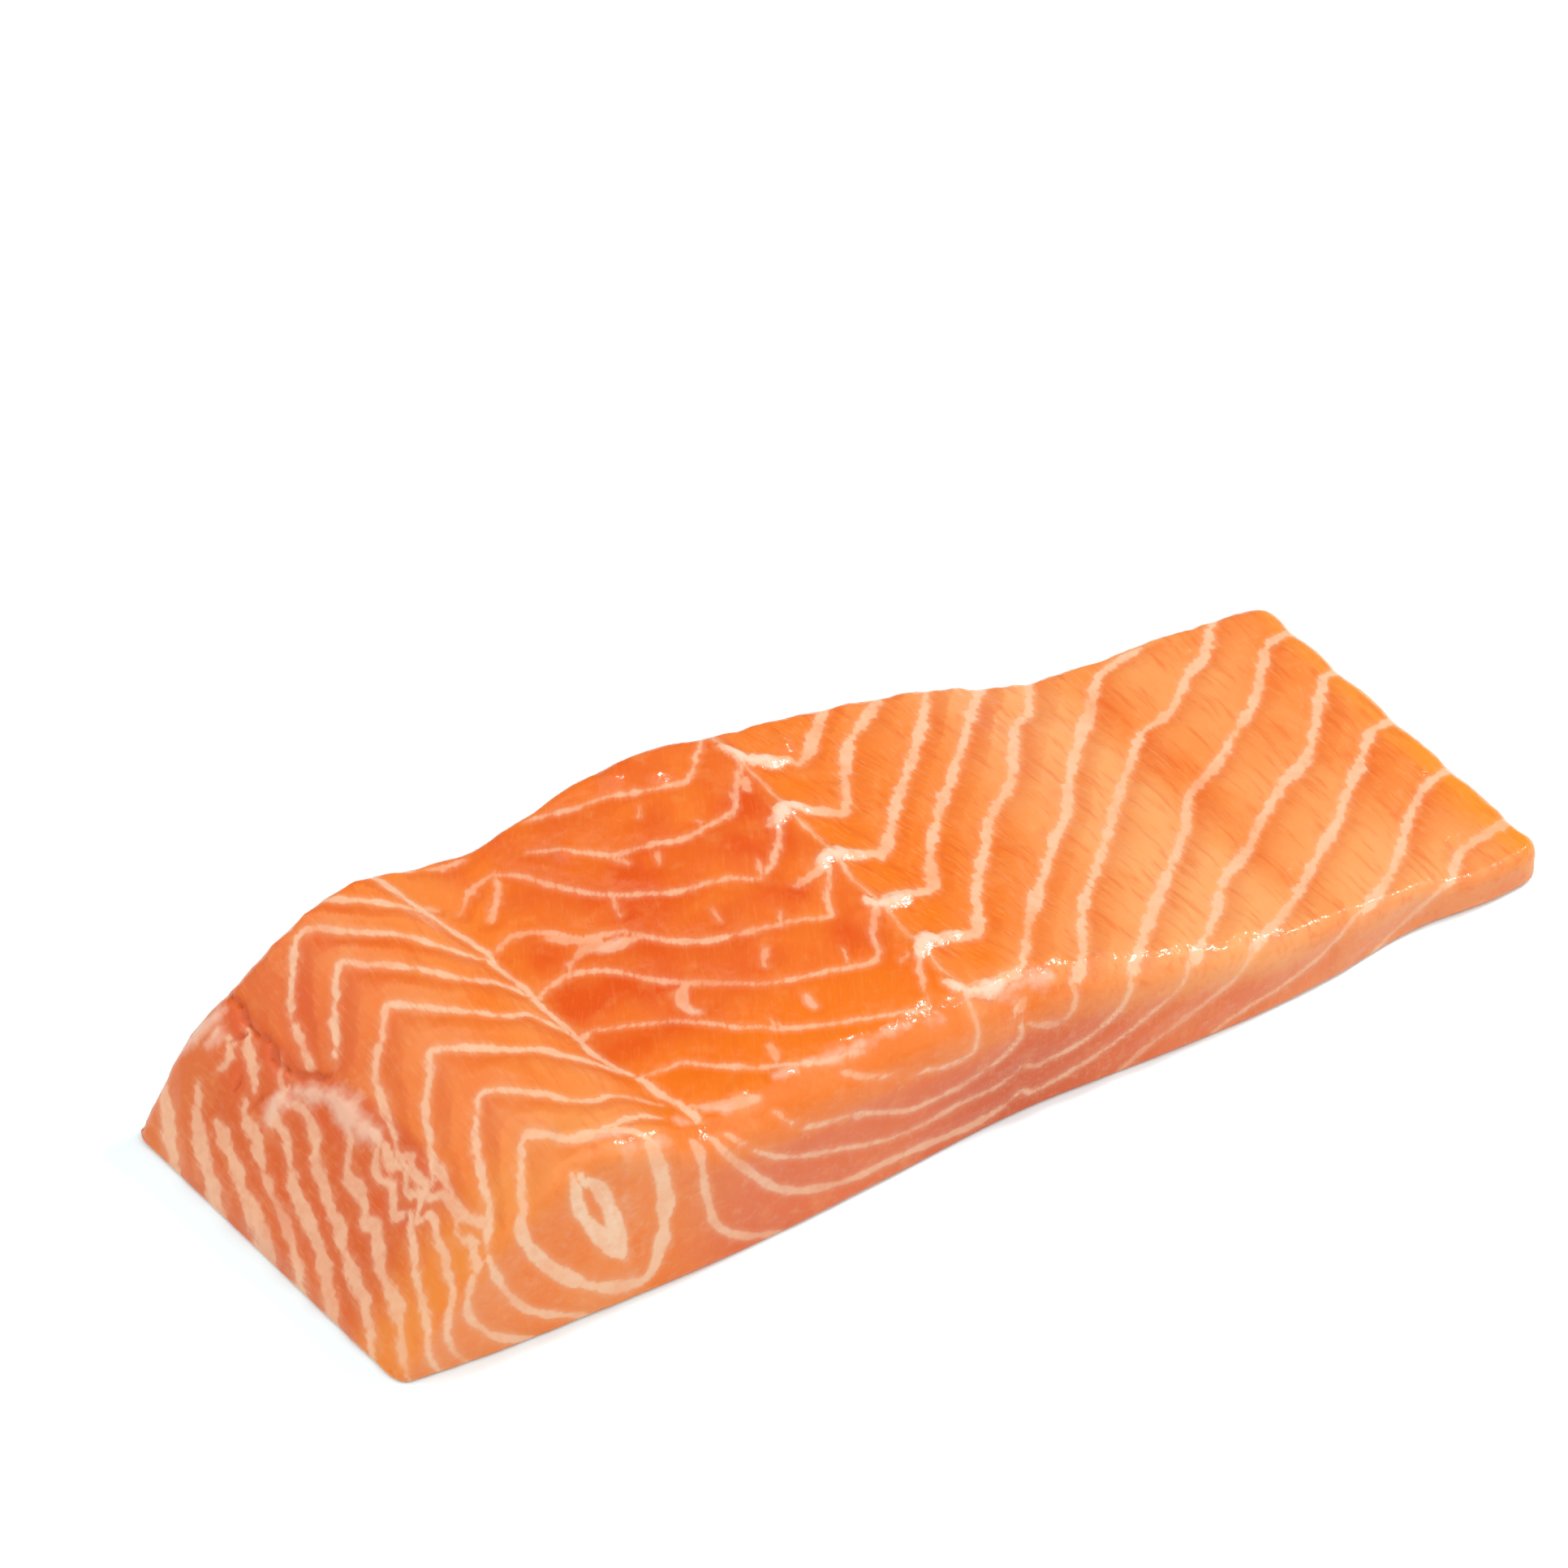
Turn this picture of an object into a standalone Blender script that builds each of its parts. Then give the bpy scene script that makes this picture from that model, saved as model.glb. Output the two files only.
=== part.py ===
"""Skinless salmon fillet portion, lying on its flat skin side.

The portion was cut across the fish, so its long way (X) runs from the thick back of the fish at -X
to the thin belly at +X, and its width (Y) runs along the fish. +Y is the far cut face and -Y the
near one. The origin is at the middle of the base. All sizes are in metres.
"""

import bpy
import numpy as np

LENGTH = 0.1545
WIDTH = 0.0520
HEIGHT = 0.0243

BACK_SLANT = 0.0050
FAR_TAPER = 0.0013
CORNER_RADIUS = 0.0026
FAR_EDGE_RADIUS = 0.0018
END_RADIUS = 0.0020
THINNEST = 0.0010

CELLS_ALONG = 36
CELLS_ACROSS = 14
CELLS_UP = 3
EDGE_CROWDING = 0.55

# Height of the cut faces' upper edges, as shares of HEIGHT at shares of LENGTH from the thick end.
# The first hump is the back muscle, the second the middle of the side, and the rest is the belly.
FAR_PROFILE = (
    (0.00, 0.10), (0.04, 0.49), (0.08, 0.69), (0.11, 0.83), (0.14, 0.94), (0.18, 1.00), (0.24, 0.91),
    (0.27, 0.89), (0.31, 0.95), (0.36, 1.03), (0.40, 1.05), (0.48, 0.96), (0.60, 0.80), (0.66, 0.70),
    (0.71, 0.57), (0.76, 0.47), (0.85, 0.42), (0.93, 0.37), (1.00, 0.27),
)
NEAR_PROFILE = (
    (0.03, 0.06), (0.07, 0.40), (0.10, 0.60), (0.14, 0.81), (0.18, 0.93), (0.23, 0.87), (0.27, 0.77),
    (0.32, 0.75), (0.37, 0.77), (0.48, 0.75), (0.56, 0.71), (0.62, 0.60), (0.68, 0.51), (0.77, 0.38),
    (0.86, 0.28), (0.93, 0.20), (1.00, 0.21),
)
# How far the near cut face stands out from the middle line, as a share of half the WIDTH.
NEAR_OUTLINE = (
    (0.03, 0.90), (0.08, 0.94), (0.18, 0.98), (0.30, 1.00), (0.42, 0.97), (0.53, 0.94), (0.64, 0.98),
    (0.72, 1.00), (0.80, 0.98), (0.88, 0.93), (0.95, 0.96), (1.00, 0.94),
)
# Radius of the near upper edge: soft over the middle of the side, crisp along the belly.
NEAR_EDGE_RADIUS = (
    (0.00, 0.0016), (0.20, 0.0028), (0.35, 0.0048), (0.50, 0.0052), (0.62, 0.0026), (1.00, 0.0014),
)

# Creases and seams of the upper side: where they meet the near and the far edge, as shares of
# LENGTH, their half width, and their height, which is negative for a crease.
SEAMS = {
    "crease behind the fin muscle": (0.112, 0.075, 0.0018, -0.0009),
    "valley where the back muscle ends": (0.268, 0.205, 0.0030, -0.0008),
    "seam of the pin bones": (0.497, 0.483, 0.0022, 0.0005),
}

# The muscle flakes swell a little between their sheets, which fold along LENGTH.
FLAKE_WIDTH = 0.0084
FLAKE_SWELL = 0.00030
FLAKE_FOLD = (
    (0.00, -0.018), (0.10, -0.011), (0.15, 0.000), (0.27, -0.015), (0.41, -0.027), (0.48, -0.022),
    (0.53, -0.026), (0.75, 0.000), (1.00, 0.022),
)


def smooth_line(stations):
    """A smooth curve through the stations, as a function of its first number."""
    at, value = np.array(stations, float).T
    slope = np.gradient(value, at)

    def curve(share):
        share = np.clip(share, at[0], at[-1])
        k = np.clip(np.searchsorted(at, share) - 1, 0, len(at) - 2)
        step = at[k + 1] - at[k]
        t = (share - at[k]) / step
        ease = t * t * (3 - 2 * t)
        tangents = step * t * (1 - t) * (slope[k] * (1 - t) - slope[k + 1] * t)
        return value[k] + (value[k + 1] - value[k]) * ease + tangents

    return curve


far_height = smooth_line(FAR_PROFILE)
near_height = smooth_line(NEAR_PROFILE)
near_outline = smooth_line(NEAR_OUTLINE)
near_radius = smooth_line(NEAR_EDGE_RADIUS)
flake_fold = smooth_line(FLAKE_FOLD)


def rounding(distance, radius):
    """How far a surface falls away at this distance from an edge of this radius."""
    inside = np.clip(1 - distance / radius, 0, 1)
    return radius * (1 - np.sqrt(1 - inside**2))


def upper_side(along, across):
    """Height of the upper side. along runs from the thick end, across from the near face, both 0 to 1."""
    height = HEIGHT * (near_height(along) * (1 - across) + far_height(along) * across)
    for at_near, at_far, half_width, rise in SEAMS.values():
        off = (along - at_near - (at_far - at_near) * across) * LENGTH / half_width
        height = height + rise * np.exp(-off * off)
    flake = (across * WIDTH - flake_fold(along)) / FLAKE_WIDTH
    return height - FLAKE_SWELL * np.cos(2 * np.pi * flake)


def wrapped(cage):
    """Points of a unit cube's grid, moved onto the fillet."""
    along, across, up = cage.T
    across = across - EDGE_CROWDING * np.sin(2 * np.pi * across) / (2 * np.pi)
    near_gap = across * WIDTH
    far_gap = (1 - across) * WIDTH
    corner = rounding(near_gap, CORNER_RADIUS) + rounding(far_gap, CORNER_RADIUS)
    left = -LENGTH / 2 + BACK_SLANT * (1 - across) + corner / 2
    right = LENGTH / 2 - corner
    x = left + (right - left) * along
    share = x / LENGTH + 0.5
    near = -WIDTH / 2 * near_outline(share)
    far = WIDTH / 2 - FAR_TAPER * (1 - share)
    y = near + (far - near) * across
    height = upper_side(share, across)
    height = height - rounding(y - near, near_radius(share)) - rounding(far - y, FAR_EDGE_RADIUS)
    height = height - rounding(right - x, END_RADIUS)
    return np.stack([x, y, up * np.maximum(height, THINNEST)], axis=1)


def grid_cube():
    """A unit cube with a corner at the origin, cut into cells, its lower border kept sharp."""
    bpy.ops.mesh.primitive_cube_add(size=1, location=(0.5, 0.5, 0.5))
    cube = bpy.context.object
    bpy.ops.object.transform_apply(location=True)
    bpy.ops.object.mode_set(mode="EDIT")
    for axis, cells in enumerate((CELLS_ALONG, CELLS_ACROSS, CELLS_UP)):
        for k in range(1, cells):
            normal = [0, 0, 0]
            normal[axis] = 1
            bpy.ops.mesh.select_all(action="SELECT")
            bpy.ops.mesh.bisect(plane_co=[k / cells * n for n in normal], plane_no=normal)
    bpy.ops.object.mode_set(mode="OBJECT")
    mesh = cube.data
    crease = mesh.attributes.new("crease_edge", "FLOAT", "EDGE")
    for edge in mesh.edges:
        ends = [mesh.vertices[v].co for v in edge.vertices]
        middle = (ends[0] + ends[1]) / 2
        on_border = min(middle.x, middle.y, 1 - middle.x, 1 - middle.y) < 0.001
        crease.data[edge.index].value = 1.0 if on_border and middle.z < 0.001 else 0.0
    return cube


def flesh_material():
    material = bpy.data.materials.new("salmon_flesh")
    material.use_nodes = True
    shader = material.node_tree.nodes["Principled BSDF"]
    shader.inputs["Base Color"].default_value = (0.90, 0.27, 0.09, 1.0)
    shader.inputs["Roughness"].default_value = 0.35
    shader.inputs["Metallic"].default_value = 0.0
    return material


def centred(piece):
    """Moves the cage so that the finished surface has the origin at the middle of its base."""
    finished = piece.evaluated_get(bpy.context.evaluated_depsgraph_get()).to_mesh()
    points = np.array([vertex.co for vertex in finished.vertices])
    middle = (points.min(axis=0) + points.max(axis=0)) / 2
    for vertex in piece.data.vertices:
        vertex.co.x -= middle[0]
        vertex.co.y -= middle[1]


def fillet():
    piece = grid_cube()
    piece.name = "salmon_fillet"
    mesh = piece.data
    cage = np.empty(len(mesh.vertices) * 3)
    mesh.vertices.foreach_get("co", cage)
    mesh.vertices.foreach_set("co", wrapped(cage.reshape(-1, 3)).ravel())
    mesh.materials.append(flesh_material())
    mesh.shade_smooth()
    soften = piece.modifiers.new("soften", "SUBSURF")
    soften.levels = 1
    soften.render_levels = 1
    centred(piece)
    return piece


def main():
    for old in list(bpy.data.objects):
        bpy.data.objects.remove(old)
    collection = bpy.data.collections.new("salmon_fillet_portion")
    bpy.context.scene.collection.children.link(collection)
    piece = fillet()
    for holder in list(piece.users_collection):
        holder.objects.unlink(piece)
    collection.objects.link(piece)


main()
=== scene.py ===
import math

import bmesh
import bpy
import numpy as np
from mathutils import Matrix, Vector, kdtree, noise


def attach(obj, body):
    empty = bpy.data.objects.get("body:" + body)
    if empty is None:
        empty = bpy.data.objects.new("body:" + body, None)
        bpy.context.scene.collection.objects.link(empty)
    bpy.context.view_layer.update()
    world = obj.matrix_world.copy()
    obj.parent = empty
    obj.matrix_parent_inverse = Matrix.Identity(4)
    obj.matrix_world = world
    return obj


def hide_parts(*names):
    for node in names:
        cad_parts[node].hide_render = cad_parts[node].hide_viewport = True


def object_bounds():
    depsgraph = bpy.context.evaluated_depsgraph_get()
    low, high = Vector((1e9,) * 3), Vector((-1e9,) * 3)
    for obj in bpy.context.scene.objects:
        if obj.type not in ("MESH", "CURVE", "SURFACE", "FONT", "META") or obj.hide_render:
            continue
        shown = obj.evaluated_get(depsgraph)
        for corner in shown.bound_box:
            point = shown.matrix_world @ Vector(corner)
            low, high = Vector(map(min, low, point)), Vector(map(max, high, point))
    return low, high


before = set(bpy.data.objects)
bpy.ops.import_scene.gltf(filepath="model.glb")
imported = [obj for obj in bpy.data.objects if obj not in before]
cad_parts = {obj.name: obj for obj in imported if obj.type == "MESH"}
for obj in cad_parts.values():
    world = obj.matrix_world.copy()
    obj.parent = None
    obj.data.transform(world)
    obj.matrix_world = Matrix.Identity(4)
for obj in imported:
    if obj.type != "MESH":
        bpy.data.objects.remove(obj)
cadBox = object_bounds()
mm = 0.001

# The fillet's form. Lengths in mm; the profiles give shares of the height at shares of the length,
# counted from the thick end.
filletForm = {
    "length": (cadBox[1].x - cadBox[0].x) / mm,
    "width": (cadBox[1].y - cadBox[0].y) / mm,
    "height": 24.3,
    "backSlant": 5.0,
    "farTaper": 1.3,
    "farTrim": 0.7,
    "endSlant": 2.2,
    "baseRadius": 0.9,
    "bulge": 0.5,  # how far the walls stand out over the lower border
    "cornerRadius": 2.6,
    "farEdgeRadius": 1.8,
    "endRadius": 2.0,
    "thinnest": 0.8,
    "cellsAlong": (20, 21),  # cut twice: into 20, then each of these into 21
    "cellsAcross": (7, 20),
    "cellsUp": (4, 8),
    "edgeCrowding": 0.3,
}
farProfile = (
    (0.00, 0.10), (0.04, 0.49), (0.08, 0.69), (0.11, 0.83), (0.14, 0.94), (0.18, 1.00), (0.24, 0.91),
    (0.27, 0.89), (0.31, 0.95), (0.36, 1.03), (0.40, 1.05), (0.48, 0.96), (0.60, 0.80), (0.66, 0.70),
    (0.71, 0.57), (0.76, 0.47), (0.85, 0.42), (0.93, 0.37), (1.00, 0.27),
)
nearProfile = (
    (0.03, 0.06), (0.07, 0.40), (0.10, 0.60), (0.14, 0.81), (0.18, 0.93), (0.23, 0.87), (0.27, 0.77),
    (0.32, 0.75), (0.37, 0.77), (0.48, 0.75), (0.56, 0.71), (0.62, 0.60), (0.68, 0.51), (0.77, 0.38),
    (0.86, 0.28), (0.93, 0.20), (1.00, 0.21),
)
nearOutline = (
    (0.03, 0.90), (0.08, 0.94), (0.18, 0.98), (0.30, 1.00), (0.42, 0.97), (0.53, 0.94), (0.64, 0.98),
    (0.72, 1.00), (0.80, 0.98), (0.88, 0.93), (0.95, 0.96), (1.00, 0.94),
)
# radius of the near upper edge, in mm
nearEdgeRadius = (
    (0.00, 1.6), (0.20, 2.8), (0.35, 4.8), (0.50, 5.2), (0.62, 4.2), (0.72, 3.2), (0.82, 1.9), (1.00, 1.4),
)

# Fat lines of the upper side, as (x, y) in mm: width, strength, and the curves they run along.
topLines = {
    "septum behind the back muscle": (1.0, 0.95, [
        [(-48, 25), (-46.1, 18.9), (-44.6, 14.6), (-42.7, 9.9), (-42, 7.8), (-42.4, 5.6), (-41.4, 2),
         (-41.3, -2.2), (-40.6, -6), (-40.3, -10.3), (-39, -13), (-37.3, -15.1), (-36.5, -18),
         (-35.3, -20.6), (-35.2, -23)],
    ]),
    "chevrons": (0.8, 0.9, [
        [(-54.5, 24), (-51.5, 20.8), (-48.5, 18), (-45.2, 15.7)],
        [(-64.3, 8), (-63.6, 11.4), (-62.8, 14.8), (-60.9, 17.9), (-57.5, 21.6), (-53.4, 16.8),
         (-49.9, 13.4), (-47.4, 10.1), (-44.8, 7.8), (-42.4, 7)],
        [(-62.3, 6), (-61.4, 8), (-59.4, 11.4), (-56.7, 14.9), (-55.2, 13.2), (-52.3, 9.9), (-49.8, 6.6),
         (-47.6, 4.1), (-43.6, 2.4), (-41.7, 0.2)],
        [(-62.1, -5.9), (-61.4, -2.9), (-60.7, 0.4), (-59.5, 2.7), (-57.6, 4.2), (-55.7, 6.6), (-53.8, 4.4),
         (-51.5, 1.5), (-49, -1), (-46.6, -2.9), (-44, -3.2), (-42.4, -4.8), (-41, -6.8)],
        [(-61.8, -13.4), (-60.4, -10.4), (-58.6, -6.3), (-56.5, -3.8), (-54.8, -1.9), (-50.7, -6),
         (-48.2, -8), (-45.7, -9.2), (-43.4, -10.8), (-38.8, -14)],
        [(-61.6, -24), (-60.2, -21.6), (-59.5, -20.6), (-58.8, -18.2), (-57.7, -15.4), (-55.9, -12.1),
         (-53.8, -10.1), (-51.2, -12.8), (-49, -15.2), (-47.2, -17.1), (-45.2, -18), (-42.7, -17.7),
         (-39.8, -18.6), (-37.2, -19.4)],
        [(-58.4, -28), (-57.4, -24.2), (-55.6, -20.8), (-53.4, -17.9), (-51.6, -19.9), (-49.9, -22.2),
         (-47.3, -22.6), (-44, -21.8), (-41.6, -21.4), (-39, -22)],
        [(-50, -21.9), (-47.2, -22.7), (-44.4, -23.2), (-42.6, -24.6), (-42.2, -27)],
    ]),
    "broad stripes of the fin muscle": (1.25, 0.74, [
        [(-73.4, 25.4), (-74.6, 23.4), (-75.6, 20.8), (-76.6, 18.4), (-77.3, 15.4)],
        [(-72.6, 19), (-74, 16.8), (-74.9, 14.8), (-75.6, 12), (-76.3, 9.2), (-76.8, 7)],
        [(-73.1, 14.4), (-73.2, 12.4), (-73.6, 10), (-74, 7.4), (-74.5, 4.2), (-75, 1), (-75.6, -2.4)],
        [(-66.6, 18), (-67.6, 15.8), (-68.4, 13.6), (-69.4, 12)],
    ]),
    "stripes of the fin muscle": (1.05, 0.76, [
        [(-70.3, 12.4), (-71, 11), (-71.1, 9), (-71.6, 7.4), (-72.1, 5), (-72.6, 2.6), (-73, -0.6),
         (-73.6, -3.2), (-74.4, -5.8), (-75, -8)],
        [(-67.8, 9.3), (-69.2, 8.3), (-69.1, 6.6), (-69.4, 4.9), (-70.1, 3), (-70.9, 1), (-71.3, -0.8),
         (-71.5, -3.4), (-72, -6), (-72.8, -9), (-73.6, -11.4), (-74.3, -13.8)],
        [(-66.6, 5.4), (-67.1, 3.4), (-67.5, 1.6), (-68.5, 0.5), (-68.9, -1.8), (-69.4, -4), (-70, -6.8),
         (-70.7, -9.4), (-71.1, -12.2), (-71.5, -14.8), (-72.3, -17.4), (-73.3, -19.4)],
        [(-64.9, -0.8), (-65.5, -2), (-66.3, -2.9), (-67, -4.3), (-66.9, -6.2), (-67.3, -8),
         (-68.1, -9.3), (-67.7, -10.7), (-68.4, -12.4), (-69.2, -14.8), (-69.6, -17.6), (-70, -19.8),
         (-70.9, -21.2), (-71.6, -23.4)],
        [(-60.1, -9.4), (-60.8, -11.6), (-61, -14), (-61.6, -17), (-61.4, -19.6), (-60.6, -22)],
        [(-65.9, 12.4), (-66.6, 10.6), (-67.6, 9.2)],
        [(-67.6, 7.6), (-66.9, 6.4), (-66.6, 5)],
        [(-70.8, 17.8), (-69.8, 17.2), (-68.7, 18), (-68.4, 19.4)],
    ]),
    "folded stripes beside the crease": (0.88, 0.85, [
        [(-63, -4.8), (-64.5, -5.6), (-65.1, -7.4), (-64.6, -9.2), (-65.2, -10.6), (-66, -12), (-65, -13.4),
         (-65.9, -15.6), (-66.9, -17.7), (-67.7, -20.2), (-68.4, -22.2), (-68.9, -24.2), (-69.8, -27)],
        [(-63.4, -2.6), (-63.2, -5.6), (-63.7, -7.6), (-63.1, -9.4), (-64, -11.4), (-63.3, -13),
         (-64.6, -14.8), (-63.6, -15.8), (-64.3, -17.8), (-64.6, -19.8), (-65.2, -21.8), (-65.8, -23.8),
         (-67, -27.4)],
        [(-62.3, -6), (-62.9, -7.8), (-62.2, -9), (-62.8, -10.4), (-62.4, -12.4), (-62.9, -14),
         (-62, -15.4), (-62.1, -18), (-62.8, -20), (-62.3, -22), (-63, -24), (-62.6, -27.4)],
    ]),
    "white tissue by the crease": (2.3, 0.8, [
        [(-66.4, 7.6), (-65.3, 5.8), (-64.3, 3.8), (-63.9, 1.8), (-64, 0), (-63.8, -1.8), (-63.2, -4)],
        [(-68.8, 8.8), (-67.4, 8.2)], [(-71.2, 22.6), (-69.6, 22.2), (-68, 22)],
        [(-69.8, 20.6), (-68.6, 20.8)],
    ]),
    "small white tissue": (0.9, 0.8, [
        [(-33.6, -22), (-32, -22.7)], [(-37.8, -22.4), (-36.4, -22.8)], [(-28.2, -9.2), (-27.8, -10)],
        [(-31.6, 3), (-29.4, 2.8)], [(-25.4, -22), (-23.4, -22.4)], [(-47.6, -23.2), (-45, -23.4)],
        [(-17, -15.6), (-16.8, -16.2)], [(-5.6, 8.6), (-4.8, 9.4)], [(2.4, -23), (6, -22.6), (9, -23)],
    ]),
    # painted sheen: a pale streak along the near ridge, where the wet edge catches the light; drawn in the
    # tissue colour
    "painted sheen along the ridge": (0.1, 0.8, [
        [(-22, -22.2), (-16, -22.8), (-10, -22.6), (-5, -23.2)], [(-46, -25.4), (-40, -25.2)],
    ]),
    "sheets that sag over the side": (0.6, 0.75, [
        [(-29.1, 23), (-26.6, 21.9), (-24.1, 20.7), (-20.6, 20), (-16.6, 18.5), (-13.6, 18), (-11.2, 17.9),
         (-9.4, 19.5), (-7.4, 21.7), (-5.6, 24)],
        [(-30.8, 19.1), (-28.2, 17), (-25.7, 14.5), (-23.5, 12.6), (-19.6, 11.5), (-16.2, 10.4),
         (-12, 11.1), (-9, 12), (-7.3, 14.2), (-5.3, 16.7), (-3, 19.2)],
        [(-35.1, 18.7), (-33.2, 17), (-31.4, 13.9), (-29.1, 10.7), (-26.6, 8.2), (-23.7, 6.1), (-20.6, 4.5),
         (-15.3, 3.4), (-12, 2), (-9.1, 3.7), (-7, 6.2), (-5.2, 8.4), (-2.4, 10.4)],
        [(-41.8, 7.5), (-39.4, 9.1), (-37.2, 9.4), (-34.9, 8.3), (-31.4, 5), (-28.4, 3.6), (-26.6, 1.3),
         (-24, -1.4), (-21, -3.2), (-15.3, -4.5), (-10.8, -5.2), (-8, -5.8), (-6.8, -3.6), (-5.2, -1.2),
         (-2.8, 2)],
        [(-41.3, -0.9), (-38.7, 0.9), (-36, 1.5), (-33.4, 0.7), (-31.2, -1.4), (-29, -4.1), (-26.4, -6.4),
         (-24, -8.1), (-21.4, -10), (-18.8, -11.4), (-12.8, -12.8), (-7, -13.5), (-5.3, -10), (-2, -6)],
        [(-40.6, -8.3), (-38.4, -6.9), (-35.8, -7.4), (-33, -8.5), (-30.1, -10.1), (-27.6, -12.1),
         (-25.2, -14.4), (-23, -15.7), (-21, -17.3), (-15.3, -19.5), (-9.1, -21.1), (-6.2, -21.5),
         (-4.5, -18.4), (-3.2, -15.8), (-1.3, -14.2)],
        [(-38, -14.6), (-35.4, -14.9), (-32.6, -15.2), (-30.3, -17.1), (-27.8, -18.9), (-25.2, -20.6),
         (-20.3, -22.8), (-15, -23.4)],
    ]),
    "torn tissue of the middle": (1.3, 0.65, [
        [(-35.7, 2.6), (-33.6, 3.8), (-31.8, 3.7), (-30, 2.4), (-27.6, 2)],
        [(-35.4, 7.6), (-33, 5.8), (-31, 4.2)],
        [(-26, -6.6), (-27.4, -6.9), (-28.3, -8.2), (-28.2, -9.6), (-27.4, -10.4)],
        [(-23.7, -18.2), (-24, -20)],
        [(-9, -0.6), (-6.8, 0.1), (-3.8, 1)],
        [(-6.6, 8.6), (-5.2, 9.6)], [(-4.8, 16.2), (-5.6, 14.6)],
        [(-34.6, -20.8), (-31.4, -22.8), (-28.4, -23.4)],
        [(-17, -7), (-18.4, -8.8)], [(-16.9, -14.6), (-16.8, -16.2)],
        [(-68.4, 9.2), (-66.6, 9)], [(-45.4, 15.2), (-44.4, 16.6), (-43.6, 16.2)],
    ]),
    "specks of the middle": (0.8, 0.6, [
        [(-19.8, 10.2), (-20.4, 8.8)], [(-19, 0.6), (-19, -1.4)], [(-13.8, 12.2), (-13, 11.6)],
        [(-35.1, 19.1), (-37.6, 18.2), (-40, 16.6), (-41.8, 14.8)],
        [(-35.2, 19), (-35.8, 17.2), (-37, 15.4), (-39.4, 12.4)],
        [(-41.6, 22.7), (-39.5, 22), (-37, 22.4)],
        [(-21.4, -16.8), (-21.9, -15.2)], [(-5, -15), (-3.4, -14)],
        [(-17.9, 16.8), (-18.9, 15.6)], [(-12.6, -3.2), (-13.4, -4.6)], [(-10.6, 4.4), (-11.6, 2.2)],
        [(-27, 8), (-27.6, 5.4)], [(-9.6, -10.8), (-10.2, -12.8)], [(-24.4, 12.8), (-23.2, 10.8)],
    ]),
    "seam of the pin bones": (0.45, 0.8, [
        [(-4.6, 24), (-4, 20), (-3.4, 15.6), (-3, 12), (-2.7, 7), (-2.3, 2.6), (-2.6, -2.2), (-1.9, -6.6),
         (-1.8, -11.6), (-1.3, -14.4), (-1.6, -17.2), (-0.9, -19.8), (-1.4, -23), (-1.4, -27)],
    ]),
    "gristle of the seam": (2.0, 1.0, [
        [(-4.4, 21.6), (-3.5, 19.6), (-2.4, 18.5), (-0.4, 17.8), (1.6, 17.3)],
        [(-5.8, 8.6), (-4.2, 9.8), (-2.8, 10.6), (-1, 9.5)],
        [(-4.6, 1.2), (-2.8, 2.4), (-1.2, 1.8), (0.4, 1.1)],
        [(-3.2, -5.4), (-1.9, -6.7), (0.2, -6.7), (1.8, -6.5)],
        [(-2.6, -15), (-0.9, -13.3), (1, -13.7), (3, -13.8)],
        [(-2, -19.6), (-0.8, -21.4), (1.2, -22), (3.6, -21.8)],
    ]),
    "belly lines": (1.15, 0.88, [
        [(-2.4, 18), (-0.6, 17.2), (1.6, 17), (2.3, 16.3), (4.5, 17.8), (8.7, 22), (11, 24.4)],
        [(-2.4, 9.9), (-0.6, 8.9), (1.6, 8), (2.7, 7.6), (5.2, 11.4), (9.4, 17.2), (13.3, 20.3), (18, 24)],
        [(-2.4, 2.2), (-0.8, 1.2), (1.8, 0.6), (3.2, 0.5), (9.5, 7.4), (14.5, 12.4), (19.5, 17.8),
         (25, 24.4)],
        [(-1.6, -6.2), (0.8, -6.1), (3.2, -6.7), (4.9, -6.4), (7.4, -2.2), (12, 3.3), (17.4, 8.7),
         (22.8, 14.1), (27.4, 19.1), (32.4, 24.4)],
        [(-1.2, -13.2), (0.8, -13.6), (3.2, -14.3), (5.4, -14.4), (8.7, -9.2), (13.7, -3.4), (18.2, 1.9),
         (23.7, 6.2), (27.8, 11.2), (31.8, 16.5), (34.6, 18.2), (39, 24.6)],
        [(-0.8, -20.8), (2, -21.5), (5, -21.5), (7.2, -20.4), (12.8, -13.8), (18.2, -8.4), (22.8, -3.8),
         (27.4, 0.3), (32, 6.2), (37, 11.6), (42.7, 17.4), (46.5, 21.3), (49.5, 22.6), (54, 23.6)],
        [(10, -29), (10.9, -25.6), (14.8, -20.8), (19.2, -14.5), (25.7, -8.4), (31.4, -2.6), (36, 2.2),
         (40.2, 6.2), (45.2, 10.8), (51, 12.9), (56.6, 17.3), (60.6, 19.5), (66, 25.4)],
        [(17, -29), (18.6, -25.2), (20, -23.5), (24, -19.7), (31.4, -13.1), (36.2, -8.7), (40.2, -5),
         (44, -0.4), (50.2, 2.8), (55.6, 6.6), (61, 10.3), (67.2, 16.6), (70.4, 18.8), (76, 19.6)],
        [(24, -29), (27.4, -24.8), (31, -21.9), (34.2, -19), (38.6, -14.5), (43.5, -11.7), (49.3, -7.2),
         (55.6, -3), (60.6, -0.3), (65.2, 4.1), (69.3, 8.6), (72.2, 10.8), (77, 11.2)],
        [(31, -29), (35.4, -25.4), (39.6, -23), (44.3, -20), (50.6, -15.5), (56.8, -11.2), (61.8, -6.8),
         (66, -3.6), (69.7, -0.1), (72.4, 0.8), (77, 0.8)],
        [(44.6, -29), (49.6, -25.6), (56, -21.5), (61.4, -17.2), (64.4, -14.4), (70.6, -10), (77, -8.9)],
        [(58, -29), (61.8, -25.8), (65.6, -22), (68.6, -20.3), (77, -19.4)],
    ]),
}
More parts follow.
